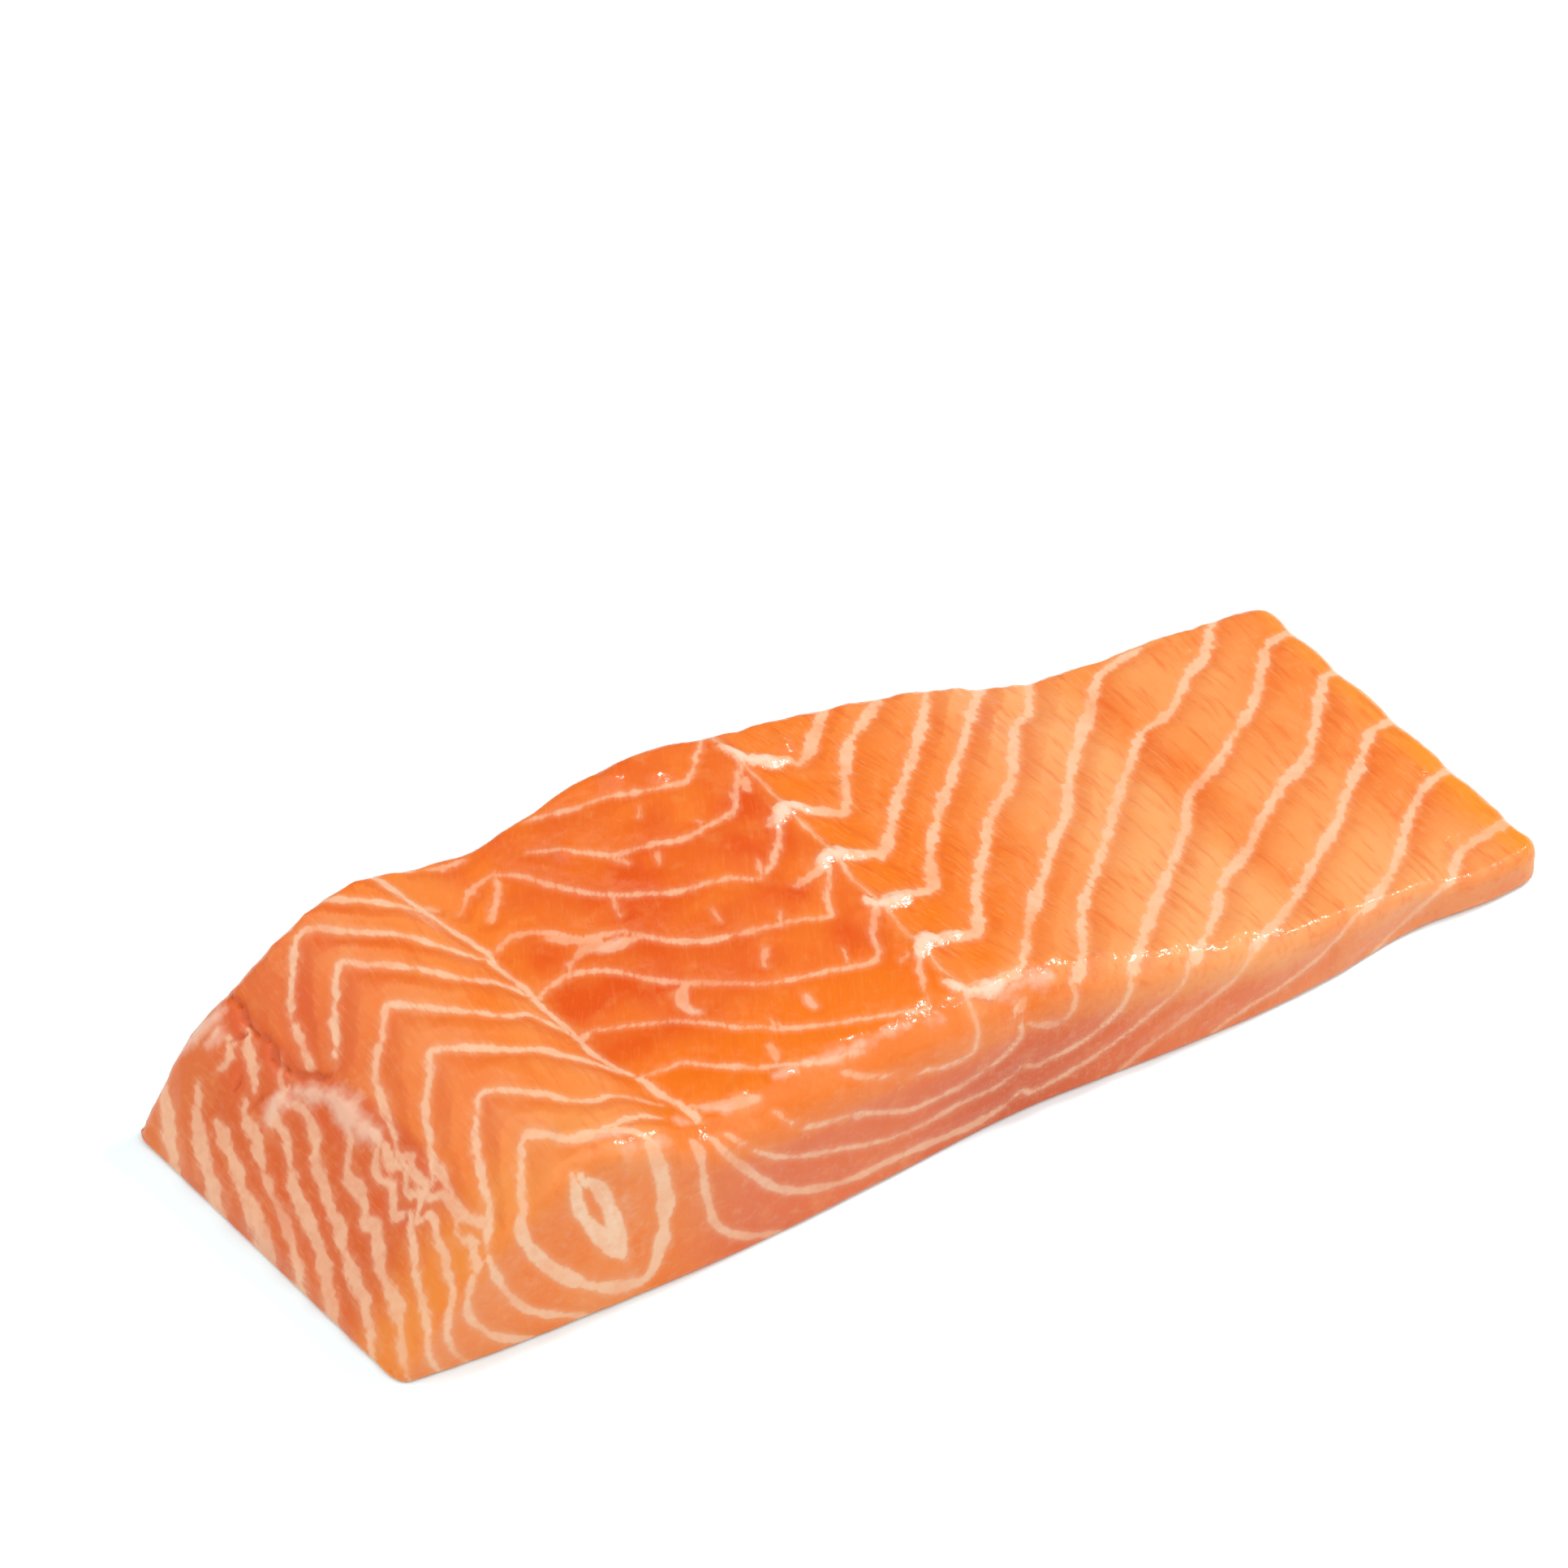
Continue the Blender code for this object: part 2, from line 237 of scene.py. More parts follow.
# Creases where the flesh gapes, as (x, y) in mm: width, strength, curves. They are sunk a little and painted
# dark red as the shade inside them.
creaseLines = (0.6, 1.0, [
    [(-66.2, 24.6), (-65.8, 22), (-65.7, 20.2), (-66.2, 18.4), (-65.9, 16), (-65.5, 14.6), (-66.1, 12.4),
     (-65.7, 10.6), (-64.9, 8.4), (-63.3, 5.8)],
    [(-68.4, 18.6), (-66.8, 17.8)], [(-69.8, 10.9), (-68.2, 10.6)], [(-70.4, 14.2), (-69.4, 14.6)],
    [(-62, -6.4), (-61.8, -8.4)], [(-65.8, -13.8), (-64.8, -12.8)],
])
# Small hollows of deep colour between the seam and the belly lines, as (x, y) in mm.
pits = ((-0.2, 13), (0.6, 5), (1.4, -2.6), (1.8, -10), (3.2, -17.8))
# Small lumps that catch the light, as (x, y) in mm.
lumps = (
    (-50.4, -21), (-48.6, -21.8), (-30, -21.8), (-24.6, -22), (-17.4, -21.8), (12.6, -22.6), (15.4, -22.4),
    (-28, 16.4), (-18.6, 21.8), (-14, 20), (2.4, 19.6), (4.4, 11), (-37.4, -21.6),
)
# Patches of deeper red on the upper side: x, y, half sizes in mm, amount.
deepSpots = (
    (-38, 4.5, 4, 1.8, 0.6), (-37, -3.2, 4.5, 2, 0.7), (-36, -10.8, 4.5, 1.8, 0.7), (-32, -17.3, 4, 1.5, 0.6),
    (-9, 13, 4, 3, 0.5), (-8, 6, 3.5, 2.5, 0.5), (-10, -1.5, 4, 2.5, 0.5), (-8, -9.5, 3.5, 2.5, 0.5),
    (-5, -17, 2.5, 3, 0.5), (-22, 6, 6, 5, 0.4), (-62, 14, 3, 9, 0.4), (45, 6, 2, 14, 0.3),
    (28, 16, 8, 8, 0.2), (-55, 16, 6, 10, 0.25), (66, -8, 2.5, 9, 0.15), (-61.6, -12, 0.7, 7, 0.8),
    (-66, 13, 1, 3, 0.6), (-69.6, 15.5, 1.4, 3, 0.6), (-66.8, 19.4, 1.4, 2, 0.6),
    (-64.4, -8.8, 0.6, 1.6, 0.8), (-65, -13.8, 1.2, 0.8, 0.8), (-67.4, 7.4, 0.8, 1, 0.7),
    (-65.9, 2.6, 0.6, 2.2, 0.7), (-66.6, -9.8, 0.8, 1.4, 0.6), (-71.6, 3.4, 0.7, 3, 0.5),
    (-70.2, -6, 0.6, 5, 0.5),
)

# Fat lines of the cut faces, as (x, z) in mm on the near one: width, strength, and the curves.
cutLines = {
    "outer sheets of the back": (0.85, 0.85, [
        [(-73, 11), (-72.2, 7), (-72.1, 4), (-71.3, 0.4)],
        [(-70, 13), (-68.9, 8), (-69.1, 4), (-68.4, 1.2), (-67.4, -0.4)],
        [(-67, 15), (-66.3, 10), (-66.9, 6), (-66.4, 3), (-65.4, 1), (-64, -0.4)],
        [(-63.9, 16), (-63.7, 12.5), (-64.5, 9.2), (-64.2, 6.4), (-62.2, 3.2), (-60, 1.4), (-56.6, -0.2)],
        [(-61.4, 19), (-61.9, 15), (-61.4, 12), (-59.8, 7.7), (-57.4, 4.2), (-53.5, 1.6), (-49.6, -0.4)],
    ]),
    "ring round the back muscle's cone": (1.6, 0.88, [
        [(-58, 21), (-58.2, 16.5), (-57, 12.8), (-54.9, 9.2), (-51.7, 5.5), (-48.4, 3.2), (-45.6, 2.1),
         (-43.6, 2.4), (-42.4, 4.8), (-41.8, 8), (-41.4, 12), (-41.8, 16), (-42.4, 19), (-42.8, 23)],
    ]),
    "core of the cone": (1.6, 1.0, [
        [(-52, 21.6), (-51.7, 18), (-51.2, 15.2), (-50, 12.6), (-48.9, 10.2), (-47.7, 8.4), (-46.6, 6.8)],
        [(-50.8, 20.2), (-49.2, 18), (-48.4, 16), (-47.8, 13.6), (-47.2, 11), (-46.9, 9), (-46.5, 7)],
        [(-49, 12), (-48, 9.6)], [(-51.2, 20.6), (-50.4, 18.8)],
    ]),
    "sheets round the cone": (1.0, 0.72, [
        [(-37.4, 21), (-37, 16), (-36.8, 12.5), (-36.3, 9.2), (-35.6, 6.2), (-34.2, 4), (-31.4, 1.8),
         (-27.4, 0.2)],
        [(-35.8, 20), (-34, 15.3), (-31.3, 11.3), (-28.3, 7.4), (-25.6, 5.3), (-22.3, 3.8), (-18, 2.8),
         (-12, 2.6), (-4.5, 1.7), (-1, 1.6), (2.6, 2.2)],
    ]),
    "thin sheets of the side": (0.6, 0.72, [
        [(-35.8, 20), (-33.2, 17), (-29, 12.5), (-25, 10), (-19.6, 8.1), (-15, 6.4), (-9.5, 5.5), (-4, 5.7),
         (1, 5.5), (3.4, 6.2), (4.5, 7)],
        [(-28.6, 19), (-26.5, 16), (-23.7, 13.7), (-20.4, 12.8), (-17.2, 11.9), (-13.5, 10), (-10, 8.6),
         (-3.6, 8.4), (1, 9.3), (3.5, 10.8), (4.3, 12.4), (3.4, 14.4), (4.4, 16)],
        [(-20, 20), (-18.5, 17.8), (-14.5, 15.5), (-9.5, 13.6), (-5, 12.3), (-2.4, 12.5), (-1.4, 14.6),
         (-1.4, 19)],
        [(4.7, 13.4), (6, 12.1), (8.6, 11.1), (10.3, 11.8), (11.2, 13.6), (11, 18)],
        [(18.8, 18), (18.5, 15), (18.1, 12), (15.9, 9), (12, 6.9), (7, 6), (5.4, 6.3), (4.5, 7)],
        [(27.8, 18), (27, 14.8), (26.1, 12), (24, 9), (20, 6.8), (15, 4.4), (9.5, 2.7), (6, 2.3),
         (4.4, 3.1), (2.6, 2.2)],
    ]),
    "sheets of the belly": (0.7, 0.6, [
        [(38.4, 14.5), (36.4, 11.7), (33.6, 9.1), (31.2, 7), (27.2, 5.2), (22.4, 3.2), (18, 1), (16, -0.2)],
        [(52, 10), (49.8, 8), (46.6, 6), (43.3, 4.2), (38.3, 2.8), (32.8, 1.8), (29, 0.6)],
        [(65, 7), (62, 5), (59, 3.4), (54.6, 1.4), (50, -0.4)],
    ]),
    "torn tissue of the cut": (2.0, 0.5, [
        [(-30.6, 20), (-29, 18.6)], [(-18, 12.2), (-17, 11.4)], [(4.2, 15.2), (4.9, 15.6)],
    ]),
}

# Heights of the relief, in mm.
fleshRelief = {
    "flakeSwell": 0.26,  # of the flesh between two fat lines
    "flakeSwellOfMiddle": 0.18,
    "whiteTissueAndSheen": 0.4,
    "lump": 0.45,
    "ridgeWaves": 0.16,
    "pit": 0.35,
    "valley": 0.7,
    "crease": 0.4,
    "drift": 0.10,
    "dimples": 0.06,
    "sink": 0.32,  # brings the whole back to the size of the solid
}
lineStep = 0.15  # mm between two points of a drawn line


def smoothLine(stations):
    at, value = np.array(stations, float).T
    slope = np.gradient(value, at)

    def curve(share):
        share = np.clip(share, at[0], at[-1])
        k = np.clip(np.searchsorted(at, share) - 1, 0, len(at) - 2)
        step = at[k + 1] - at[k]
        t = (share - at[k]) / step
        ease = t * t * (3 - 2 * t)
        tangents = step * t * (1 - t) * (slope[k] * (1 - t) - slope[k + 1] * t)
        return value[k] + (value[k + 1] - value[k]) * ease + tangents

    return curve


farHeight = smoothLine(farProfile)
nearHeight = smoothLine(nearProfile)
nearEdge = smoothLine(nearOutline)
nearRadius = smoothLine(nearEdgeRadius)


def rounding(distance, radius):
    inside = np.clip(1 - distance / radius, 0, 1)
    return radius * (1 - np.sqrt(1 - inside**2))


def smoothStep(low, high, value):
    t = np.clip((value - low) / (high - low), 0, 1)
    return t * t * (3 - 2 * t)


def mound(offX, offY, spread):
    return np.exp(-(offX**2 + offY**2) / spread)


def drawnThrough(points):
    # a smooth curve through listed points
    p = np.array([points[0], *points, points[-1]], float)
    out = []
    for a, b, c, d in zip(p[:-3], p[1:-2], p[2:-1], p[3:]):
        count = max(2, int(np.linalg.norm(c - b) / lineStep))
        t = np.linspace(0, 1, count, endpoint=False)[:, None]
        bend = (2 * a - 5 * b + 4 * c - d) * t**2 + (3 * b - a - 3 * c + d) * t**3
        out.append(0.5 * (2 * b + (c - a) * t + bend))
    out.append(p[-1:])
    return np.concatenate(out)


def unevenness(points, size, seed, octaves=2):
    # smooth noise from -1 to 1, with bumps of this size in mm
    offset = Vector((seed * 17.3, seed * 5.1, seed * 9.7))
    return np.array([noise.fractal(Vector(p) / size + offset, 0.8, 2.1, octaves) for p in points])


class FatField:
    # how deep a place lies inside the nearest fat line, in mm, and how strong that line is

    def __init__(self, families):
        self.half, self.strength, places = [], [], []
        for width, strength, curves in families:
            for number, points in enumerate(curves):
                line = drawnThrough(points)
                run = np.arange(len(line)) * lineStep
                swell = np.array([noise.noise(Vector((s / 2.6, number * 3.7, width * 9))) for s in run])
                fade = np.array([noise.noise(Vector((s / 5.0, number * 1.9, 40 + width * 9))) for s in run])
                taper = np.minimum(1, 0.5 + 0.5 * np.minimum(run, run[::-1]) / 2.0)  # thinner at both ends
                self.half.extend(width / 2 * (1 + 0.6 * swell) * taper)
                self.strength.extend(strength * np.clip(0.95 + 0.5 * fade, 0.5, 1))
                places.extend(line)
        self.tree = kdtree.KDTree(len(places))
        for k, (x, y) in enumerate(places):
            self.tree.insert((x, y, 0), k)
        self.tree.balance()

    def at(self, x, y):
        inside, strength, above = np.empty(len(x)), np.empty(len(x)), np.empty(len(x))
        for k in range(len(x)):
            near, index, distance = self.tree.find((x[k], y[k], 0))
            inside[k] = self.half[index] - distance
            strength[k] = self.strength[index]
            above[k] = y[k] - near.y
        return inside, strength, above


def creaseAt(y):
    # the crease behind the fin muscle, x in mm
    return np.interp(y, (-25, -5, 2, 9, 15, 24), (-60, -61, -62, -64, -65, -65.5))


def wrapped(unit):
    # unit cube points moved onto the fillet, in mm, with how far each lies from its edges
    form = filletForm
    along, across, up = unit.T
    across = across - form["edgeCrowding"] * np.sin(2 * np.pi * across) / (2 * np.pi)
    length, width = form["length"], form["width"]
    radius = form["cornerRadius"]
    corner = rounding(across * width, radius) + rounding((1 - across) * width, radius)
    left = -length / 2 + form["backSlant"] * (1 - across) + corner / 2 - form["bulge"] * (1 + across)
    right = length / 2 - corner - 2 * form["bulge"] - form["endSlant"] * across**1.5
    x = left + (right - left) * along
    share = x / length + 0.5
    near = -width / 2 * nearEdge(share) - form["bulge"]
    far = width / 2 - form["farTrim"] - form["farTaper"] * (1 - share)
    y = near + (far - near) * across
    height = form["height"] * (nearHeight(share) * (1 - across) + farHeight(share) * across)
    height = height - rounding(y - near, nearRadius(share)) - rounding(far - y, form["farEdgeRadius"])
    height = height - rounding(right - x, form["endRadius"]) - rounding(x - left, form["endRadius"])
    height = np.maximum(height, form["thinnest"])
    up = up * (0.6 + 0.4 * up)
    return np.stack([x, y, up * height], axis=1), y - near, far - y, height


print("cutting the fillet's grid")
bpy.ops.object.select_all(action="DESELECT")
bpy.ops.mesh.primitive_cube_add(size=1, location=(0.5, 0.5, 0.5))
fillet = bpy.context.object
fillet.name = "filletFlesh"
bpy.ops.object.transform_apply(location=True, rotation=False, scale=False)
bpy.ops.object.mode_set(mode="EDIT")
bpy.ops.mesh.select_mode(type="FACE")
shape = bmesh.from_edit_mesh(fillet.data)
for face in shape.faces:
    face.select = face.normal.z < -0.9
bpy.ops.mesh.delete(type="ONLY_FACE")
bpy.ops.mesh.select_mode(type="EDGE")
for axis, cuts in enumerate((filletForm["cellsAlong"], filletForm["cellsAcross"], filletForm["cellsUp"])):
    for cells in cuts:
        bpy.ops.mesh.select_all(action="DESELECT")
        shape = bmesh.from_edit_mesh(fillet.data)
        for edge in shape.edges:
            edge.select = abs(edge.verts[0].co[axis] - edge.verts[1].co[axis]) > 1e-5
        bmesh.update_edit_mesh(fillet.data)
        bpy.ops.mesh.subdivide(number_cuts=cells - 1)
bpy.ops.object.mode_set(mode="OBJECT")

print("shaping it")
mesh = fillet.data
count = len(mesh.vertices)
flat = np.empty(count * 3)
mesh.vertices.foreach_get("co", flat)
unit = flat.reshape(-1, 3).copy()
place, nearGap, farGap, height = wrapped(unit)
onTop = unit[:, 2] > 0.9999
mesh.vertices.foreach_set("co", (place * mm).ravel())
mesh.update()
mesh.vertices.foreach_get("normal", flat)
normal = flat.reshape(-1, 3).copy()

print("laying the fat lines")
x, y, z = place.T
# white tissue, and the painted sheen along the ridge, which shares the tissue colour
whiteTissueAndSheen = ("white tissue by the crease", "small white tissue", "painted sheen along the ridge")
topField = FatField([family for name, family in topLines.items() if name not in whiteTissueAndSheen])
cutField = FatField(list(cutLines.values()))
share = x / filletForm["length"] + 0.5
# the lines waver; those beside the crease are already drawn folded and stay cleaner
folded = smoothStep(-69, -66, x) * (1 - smoothStep(-61, -59.5, x))
folded = folded * (1 - smoothStep(3, 7, y)) * smoothStep(-19, -15, y)
sway = (0.12 + 0.06 * folded) * unevenness(place * (0.3, 1, 0.3), 1.2, 7)
ragged = (0.24 - 0.18 * folded) * unevenness(place, 0.9, 11)
waver = 0.15 * unevenness(place, 1.4, 8)
topInside, topStrength, aboveLine = topField.at(x + sway + ragged, y - ragged + waver)
cutInside, cutStrength, _ = cutField.at(x, z)
# the far face carries the near one's lines, stretched to its height
farScale = nearHeight(share) / farHeight(share)
backInside, backStrength, _ = cutField.at(x, z * farScale)
# how far a place lies past the turn from the upper side to a cut face, in mm
nearTurn = np.where(onTop, 0.3 * nearRadius(share) - nearGap, height - z + 0.3 * nearRadius(share))
farTurn = np.where(onTop, 0.3 * filletForm["farEdgeRadius"] - farGap, height - z + 0.5)
nearTurn = np.where(unit[:, 1] < 0.5, nearTurn, -99)
farTurn = np.where(unit[:, 1] > 0.5, farTurn, -99)
onEnd = (unit[:, 0] > 0.9999) | (unit[:, 0] < 0.0001)
nearTurn = np.where(onEnd & (nearGap > 0.5), -99, nearTurn)
farTurn = np.where(onEnd & (farGap > 0.5), -99, farTurn)
fromTop = topInside - 1.5 * np.maximum(0, np.maximum(nearTurn, farTurn))
fromNear = cutInside - 1.5 * np.maximum(0, -nearTurn)
fromFar = backInside - 1.5 * np.maximum(0, -farTurn)
fat = np.maximum(fromTop, np.maximum(fromNear, fromFar))
fatStrength = np.where(fat == fromTop, topStrength, np.where(fat == fromNear, cutStrength, backStrength))
onCut = smoothStep(-1, 1.5, np.maximum(nearTurn, farTurn))

print("tinting the flesh")
septum = np.array(topLines["septum behind the back muscle"][2][0])[::-1]
seam = np.array(topLines["seam of the pin bones"][2][0])[::-1]
pastSeptum = x > np.interp(y, septum[:, 1], septum[:, 0])
pastSeam = x > np.interp(y, seam[:, 1], seam[:, 0])
# the fibres lean another way in each of the three muscles
lean = np.where(pastSeptum, 0.5, 0.07)
lean = np.where(pastSeam, -0.30 + 0.24 * smoothStep(10, 50, x), lean)
fibreAcross = x - lean * y
drift = unevenness(place, 7.0, 1)
finMuscle = 1 - smoothStep(-0.8, 0.8, x - creaseAt(y))
middle = smoothStep(-43, -38, x) * (1 - smoothStep(-4, -1, x))
deep = middle * smoothStep(-23, -16, y) * (0.45 + 0.5 * drift)
glow = 0.75 * middle * smoothStep(-8, -17, y)
for sx, sy, sizeX, sizeY, amount in deepSpots:
    deep = deep + amount * np.exp(-(((x - sx) / sizeX) ** 2) - ((y - sy) / sizeY) ** 2)
for px, py in pits:
    glow = glow + 0.8 * mound(x - px, y - py, 7.0)
pastPits = smoothStep(0, 8, x) * (1 - smoothStep(8, 24, x)) * smoothStep(-24, -15, y)
glow = np.clip(glow + 0.3 * pastPits, 0, 1) * (1 - onCut)
# each block of flesh is deepest right below a fat line and pales towards the next
belowLine = np.clip(-aboveLine / 0.8, -1, 1) * np.exp(-((aboveLine / 1.6) ** 2))
deep = np.clip((deep + (0.45 - 0.3 * middle) * belowLine * (1 - finMuscle)) * (1 - onCut), 0, 1)
paleRun = smoothLine((
    (-77, 0.1), (-62, 0), (-55, 0.15), (-45, 0.2), (-38, 0.1), (-4, 0.1), (6, 0.15), (18, 0.35), (28, 0.8),
    (39, 0.9), (45, 0.35), (52, 0.65), (60, 0.55), (67, 0.3), (77, 0.2),
))
nearBack = smoothStep(-8, -22, y) * smoothStep(-62, -50, x) * (1 - middle) * (1 - onCut)
pale = np.clip(paleRun(x) + 0.25 * drift + 0.35 * nearBack - 0.1 * onCut, 0, 1)
fromEnd = x + 75.8 + 0.09 * y  # mm from the thick end
mauve = 0.55 * smoothStep(-55, -63, x) * smoothStep(-12, 8, y)
mauve = np.maximum(0.9 * finMuscle * smoothStep(-22, -12, y), mauve)
mauve = np.clip(mauve * (1 - onCut), 0, 1)
pink = smoothStep(-44, -30, x) * (1 - 0.4 * smoothStep(55, 72, x))
pink = np.clip(pink * smoothStep(0.5, 4, np.maximum(nearTurn, farTurn)), 0, 1)
palePink = 0.6 * smoothStep(-56, -64, x) + 0.3 * smoothStep(12, 26, x) + 0.35 * smoothStep(32, 46, x)
palePink = np.clip(palePink + 0.25 * drift, 0, 0.9) * onCut
paleEnd = 0.15 * (1 - smoothStep(0.5, 4, fromEnd)) + 0.25 * smoothStep(11, 20, y)
paleEnd = np.clip(paleEnd - 0.3 * smoothStep(-70, -66, x) + 0.1 * drift, 0, 0.7)
palePink = np.maximum(palePink, paleEnd * finMuscle * (1 - onCut))
# painted shade: the cut face darkens towards its foot around the seam
seamFootShade = 0.8 * np.exp(-(((x - 3) / 12) ** 2)) * (1 - smoothStep(7, 13, z)) * onCut
fibreShow = np.where(pastSeam, 1.0, np.where(pastSeptum, 0.35, 0.6)) * (1 - 0.4 * onCut)
gold = np.clip(smoothStep(69, 75, x) + 0.45 * smoothStep(-14, -21, y) * (1 - smoothStep(-58, -45, x)), 0, 1)
gold = gold * (1 - onCut)
# where the creases lie; the shader paints shade into them
crease = FatField([creaseLines]).at(x, y)[0] + 0.25 * unevenness(place, 1.2, 5)
crease = smoothStep(-0.3, 0.35, crease) * (1 - onCut)

print("raising the relief")
flakeSwell = fleshRelief["flakeSwell"] * (1 - middle) + fleshRelief["flakeSwellOfMiddle"] * middle
relief = flakeSwell * (1 - np.exp(-((np.minimum(fat, 0) / 1.6) ** 2)))
gristle = FatField([topLines["gristle of the seam"]]).at(x, y)[0]
# this tissue mask also carries the painted sheen along the ridge
tissue = FatField([topLines[name] for name in whiteTissueAndSheen]).at(x, y)[0]
core = FatField([cutLines["core of the cone"]]).at(x, z)[0]
gristle = np.maximum(gristle, np.where(nearTurn > 0, core, -9) - 0.7)
white = smoothStep(-0.6, 0.8, np.maximum(gristle, tissue - 0.6))
relief = relief + fleshRelief["whiteTissueAndSheen"] * white * (1 - onCut)
for px, py in lumps:
    relief = relief + fleshRelief["lump"] * mound(x - px, y - py, 1.2) * (1 - onCut)
alongRidge = np.exp(-(((nearGap - 1.8) / 1.3) ** 2)) * smoothStep(4, 12, x) * (1 - smoothStep(30, 60, x))
relief = relief + fleshRelief["ridgeWaves"] * alongRidge * onTop * unevenness(place, 1.0, 9)
for px, py in pits:
    relief = relief - fleshRelief["pit"] * mound(x - px, y - py, 5.0) * (1 - onCut)
# the valley where the back muscle ends
valley = (x + 35.5 + 10.2 * nearGap / filletForm["width"]) / 3.0
relief = relief - fleshRelief["valley"] * np.exp(-valley * valley) * (1 - onCut)
relief = relief - fleshRelief["crease"] * crease
relief = relief + fleshRelief["drift"] * drift + fleshRelief["dimples"] * unevenness(place, 1.6, 3, 3)
relief = (relief - fleshRelief["sink"]) * smoothStep(0, 1.2, z)
place = place + normal * relief[:, None]
tuck = rounding(z, filletForm["baseRadius"]) * (~onTop)
place[:, :2] = place[:, :2] - normal[:, :2] * tuck[:, None]
place[:, 2] = np.maximum(place[:, 2], 0)
mesh.vertices.foreach_set("co", (place * mm).ravel())
for name, values in (
    ("fat", fat), ("fatStrength", fatStrength), ("deep", deep), ("glow", glow), ("pale", pale),
    ("pink", pink), ("gold", gold), ("mauve", mauve), ("palePink", palePink), ("seamFootShade", seamFootShade),
    ("crease", crease), ("onCut", onCut), ("gristle", gristle), ("fibreAcross", fibreAcross),
    ("tissue", tissue), ("fibreShow", fibreShow),
):
    layer = mesh.attributes.new(name, "FLOAT", "POINT")
    layer.data.foreach_set("value", values.astype(np.float32))
mesh.update()

print("closing the underside")
bpy.ops.object.mode_set(mode="EDIT")
bpy.ops.mesh.select_mode(type="EDGE")
bpy.ops.mesh.select_all(action="DESELECT")
bpy.ops.mesh.select_non_manifold()
bpy.ops.mesh.fill()
bpy.ops.mesh.select_all(action="SELECT")
bpy.ops.mesh.normals_make_consistent(inside=False)
bpy.ops.object.mode_set(mode="OBJECT")
bpy.ops.object.shade_smooth_by_angle(angle=math.radians(50))
print("triangles", sum(len(p.vertices) - 2 for p in mesh.polygons))


# Colours as linear values, and the look of the wet surface.
fleshLook = {
    "orange": (0.735, 0.168, 0.015),
    "paleOrange": (0.765, 0.320, 0.103),
    "deepRed": (0.640, 0.076, 0.003),
    "glow": (0.750, 0.160, 0.002),
    "mauve": (0.580, 0.088, 0.008),
    "pink": (0.650, 0.122, 0.027),
    "palePink": (0.720, 0.235, 0.075),
    # painted shade low on the cut face
    "seamFootShade": (0.520, 0.084, 0.022),
    "gold": (0.760, 0.250, 0.016),
    "fat": (0.780, 0.475, 0.295),
    "gristle": (0.830, 0.590, 0.450),
    # colour of the white tissue, also used for the painted sheen along the ridge
    "tissue": (0.740, 0.450, 0.320),
    # painted shade inside the creases
    "paintedCreaseShade": (0.560, 0.075, 0.004),
    "underside": (0.700, 0.300, 0.150),
    "darkMuscle": (0.300, 0.110, 0.050),
    "roughness": 0.45,
    "gloss": 0.06,
    "subsurface": 0.35,
    "subsurfaceRadius": (1.0, 0.35, 0.15),
    "subsurfaceScale": 0.0014,
    "wetFilm": 0.65,
    "wetRoughness": 0.18,
    "fibreBump": 0.35,
    "bumpDepth": 0.00012,
}


class NodeBench:
    # short calls for building a shader

    def __init__(self, material):
        self.tree = material.node_tree

    def put(self, kind, **settings):
        node = self.tree.nodes.new(kind)
        for key, value in settings.items():
            setattr(node, key, value)
        return node

    def feed(self, socket, value):
        if isinstance(value, bpy.types.NodeSocket):
            self.tree.links.new(value, socket)
        elif value is not None:
            socket.default_value = value

    def maths(self, operation, a, b=None, clamp=False):
        node = self.put("ShaderNodeMath", operation=operation, use_clamp=clamp)
        for socket, value in zip(node.inputs, (a, b)):
            self.feed(socket, value)
        return node.outputs[0]

    def ramp(self, value, low, high, toLow=0.0, toHigh=1.0, smooth=True):
        node = self.put("ShaderNodeMapRange", interpolation_type="SMOOTHSTEP" if smooth else "LINEAR")
        for socket, v in zip(node.inputs, (value, low, high, toLow, toHigh)):
            self.feed(socket, v)
        return node.outputs[0]

    def mix(self, amount, first, second):
        node = self.put("ShaderNodeMix", data_type="RGBA")
        self.feed(node.inputs[0], amount)
        for socket, colour in ((node.inputs[6], first), (node.inputs[7], second)):
            self.feed(socket, (*colour, 1.0) if isinstance(colour, tuple) else colour)
        return node.outputs[2]

    def around(self, value, amount):
        # noise about 0 instead of about a half
        return self.maths("MULTIPLY", self.maths("SUBTRACT", value, 0.5), amount)

    def layer(self, name):
        return self.put("ShaderNodeAttribute", attribute_name=name).outputs["Fac"]

    def cloud(self, vector, scale, detail=2.0, roughness=0.5):
        node = self.put("ShaderNodeTexNoise")
        self.feed(node.inputs["Vector"], vector)
        self.feed(node.inputs["Scale"], scale)
        self.feed(node.inputs["Detail"], detail)
        self.feed(node.inputs["Roughness"], roughness)
        return node.outputs["Fac"]


